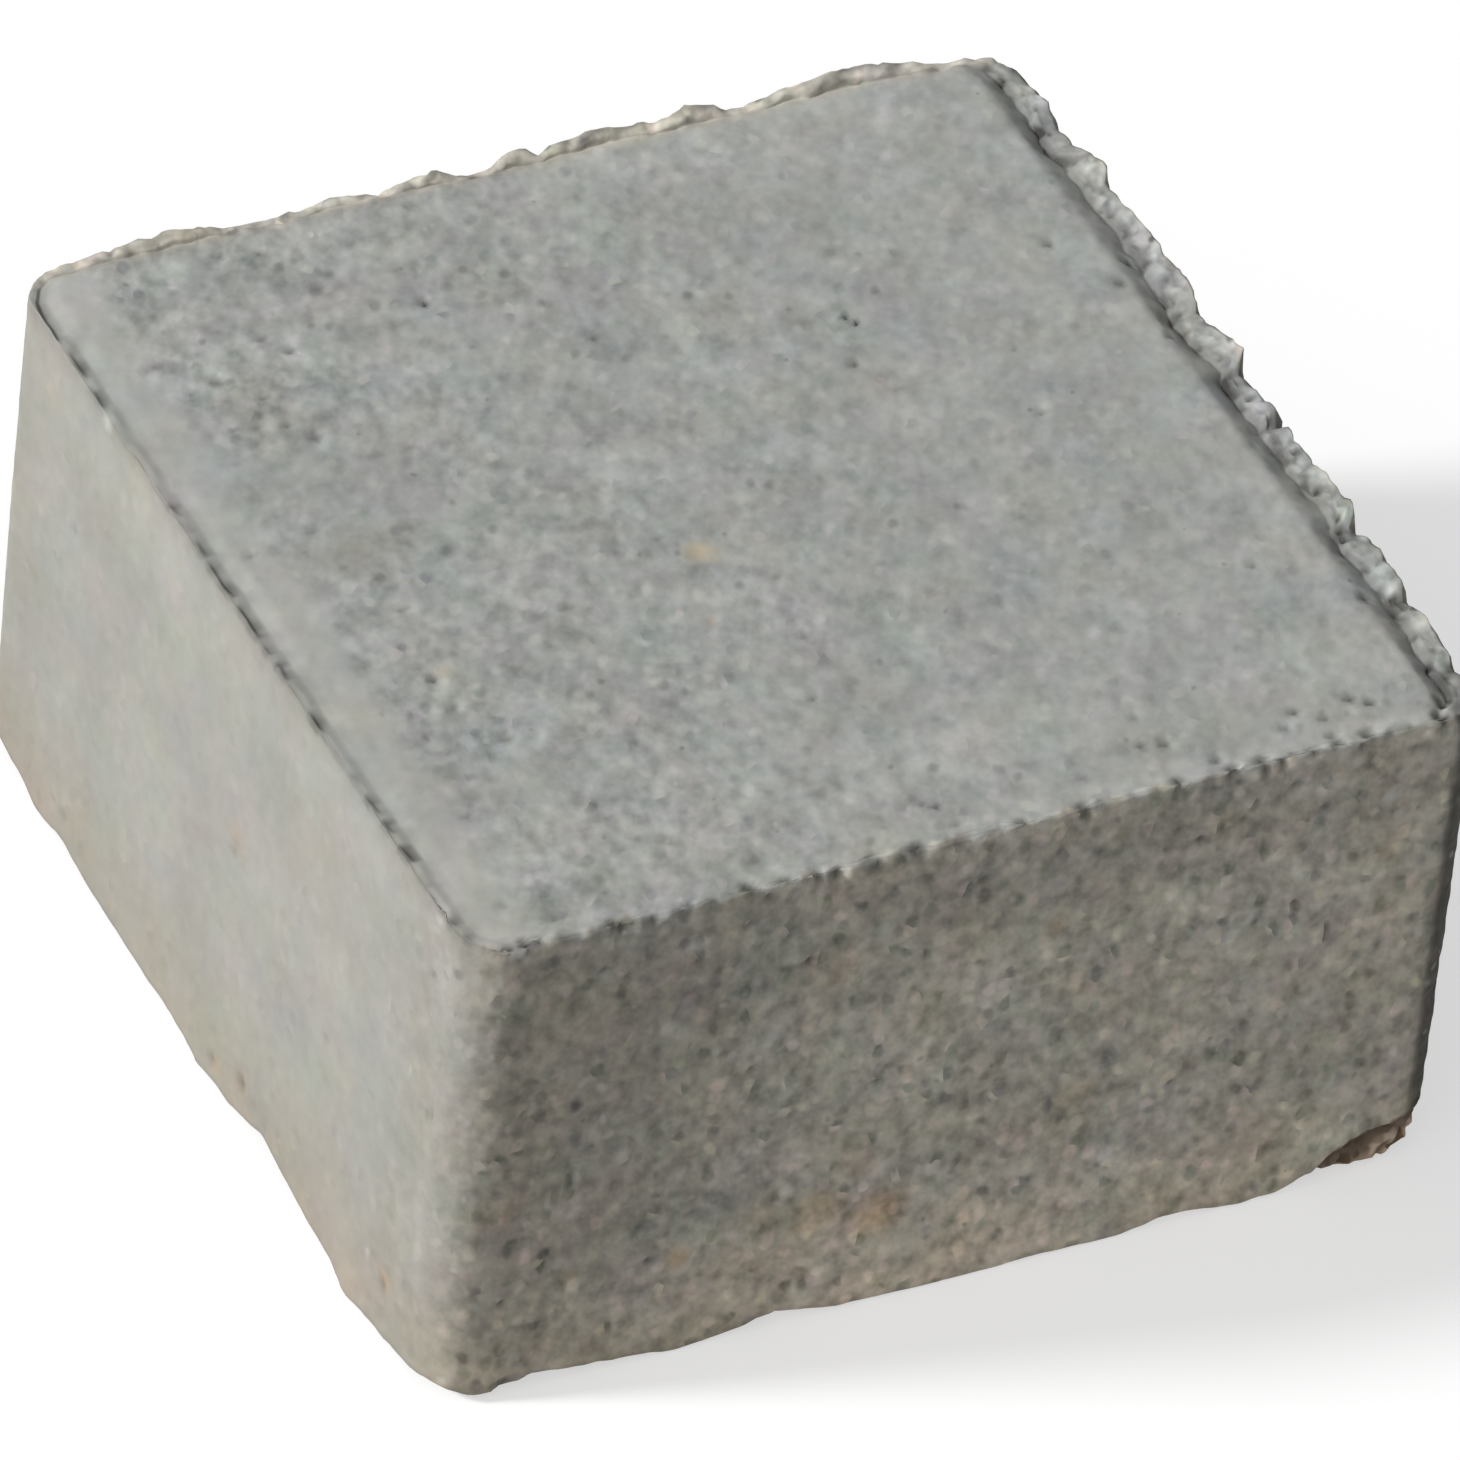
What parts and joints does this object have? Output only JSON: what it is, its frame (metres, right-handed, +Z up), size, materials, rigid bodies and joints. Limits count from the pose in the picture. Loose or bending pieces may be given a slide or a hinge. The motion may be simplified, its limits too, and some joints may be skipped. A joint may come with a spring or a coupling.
{
  "type": "concrete paving stone",
  "caption": "Square pressed concrete paving stone with rounded upright corners, a flat wearing face inside a chamfer, a groove and a ragged burr that is widest on one side, and one spalled lower corner.",
  "frame": {"origin": "middle of the bed face, which lies on the ground plane", "axes": "+Z up, normal to the wearing face; +X and +Y along the two equal sides of the square"},
  "size_m": [0.15, 0.15, 0.0812],
  "materials": {
    "concrete": "dry pressed grey concrete, fine open pores, rough sides with brownish dust, no sealer"
  },
  "bodies": {
    "root": {"paving_stone": "concrete"}
  },
  "joints": []
}
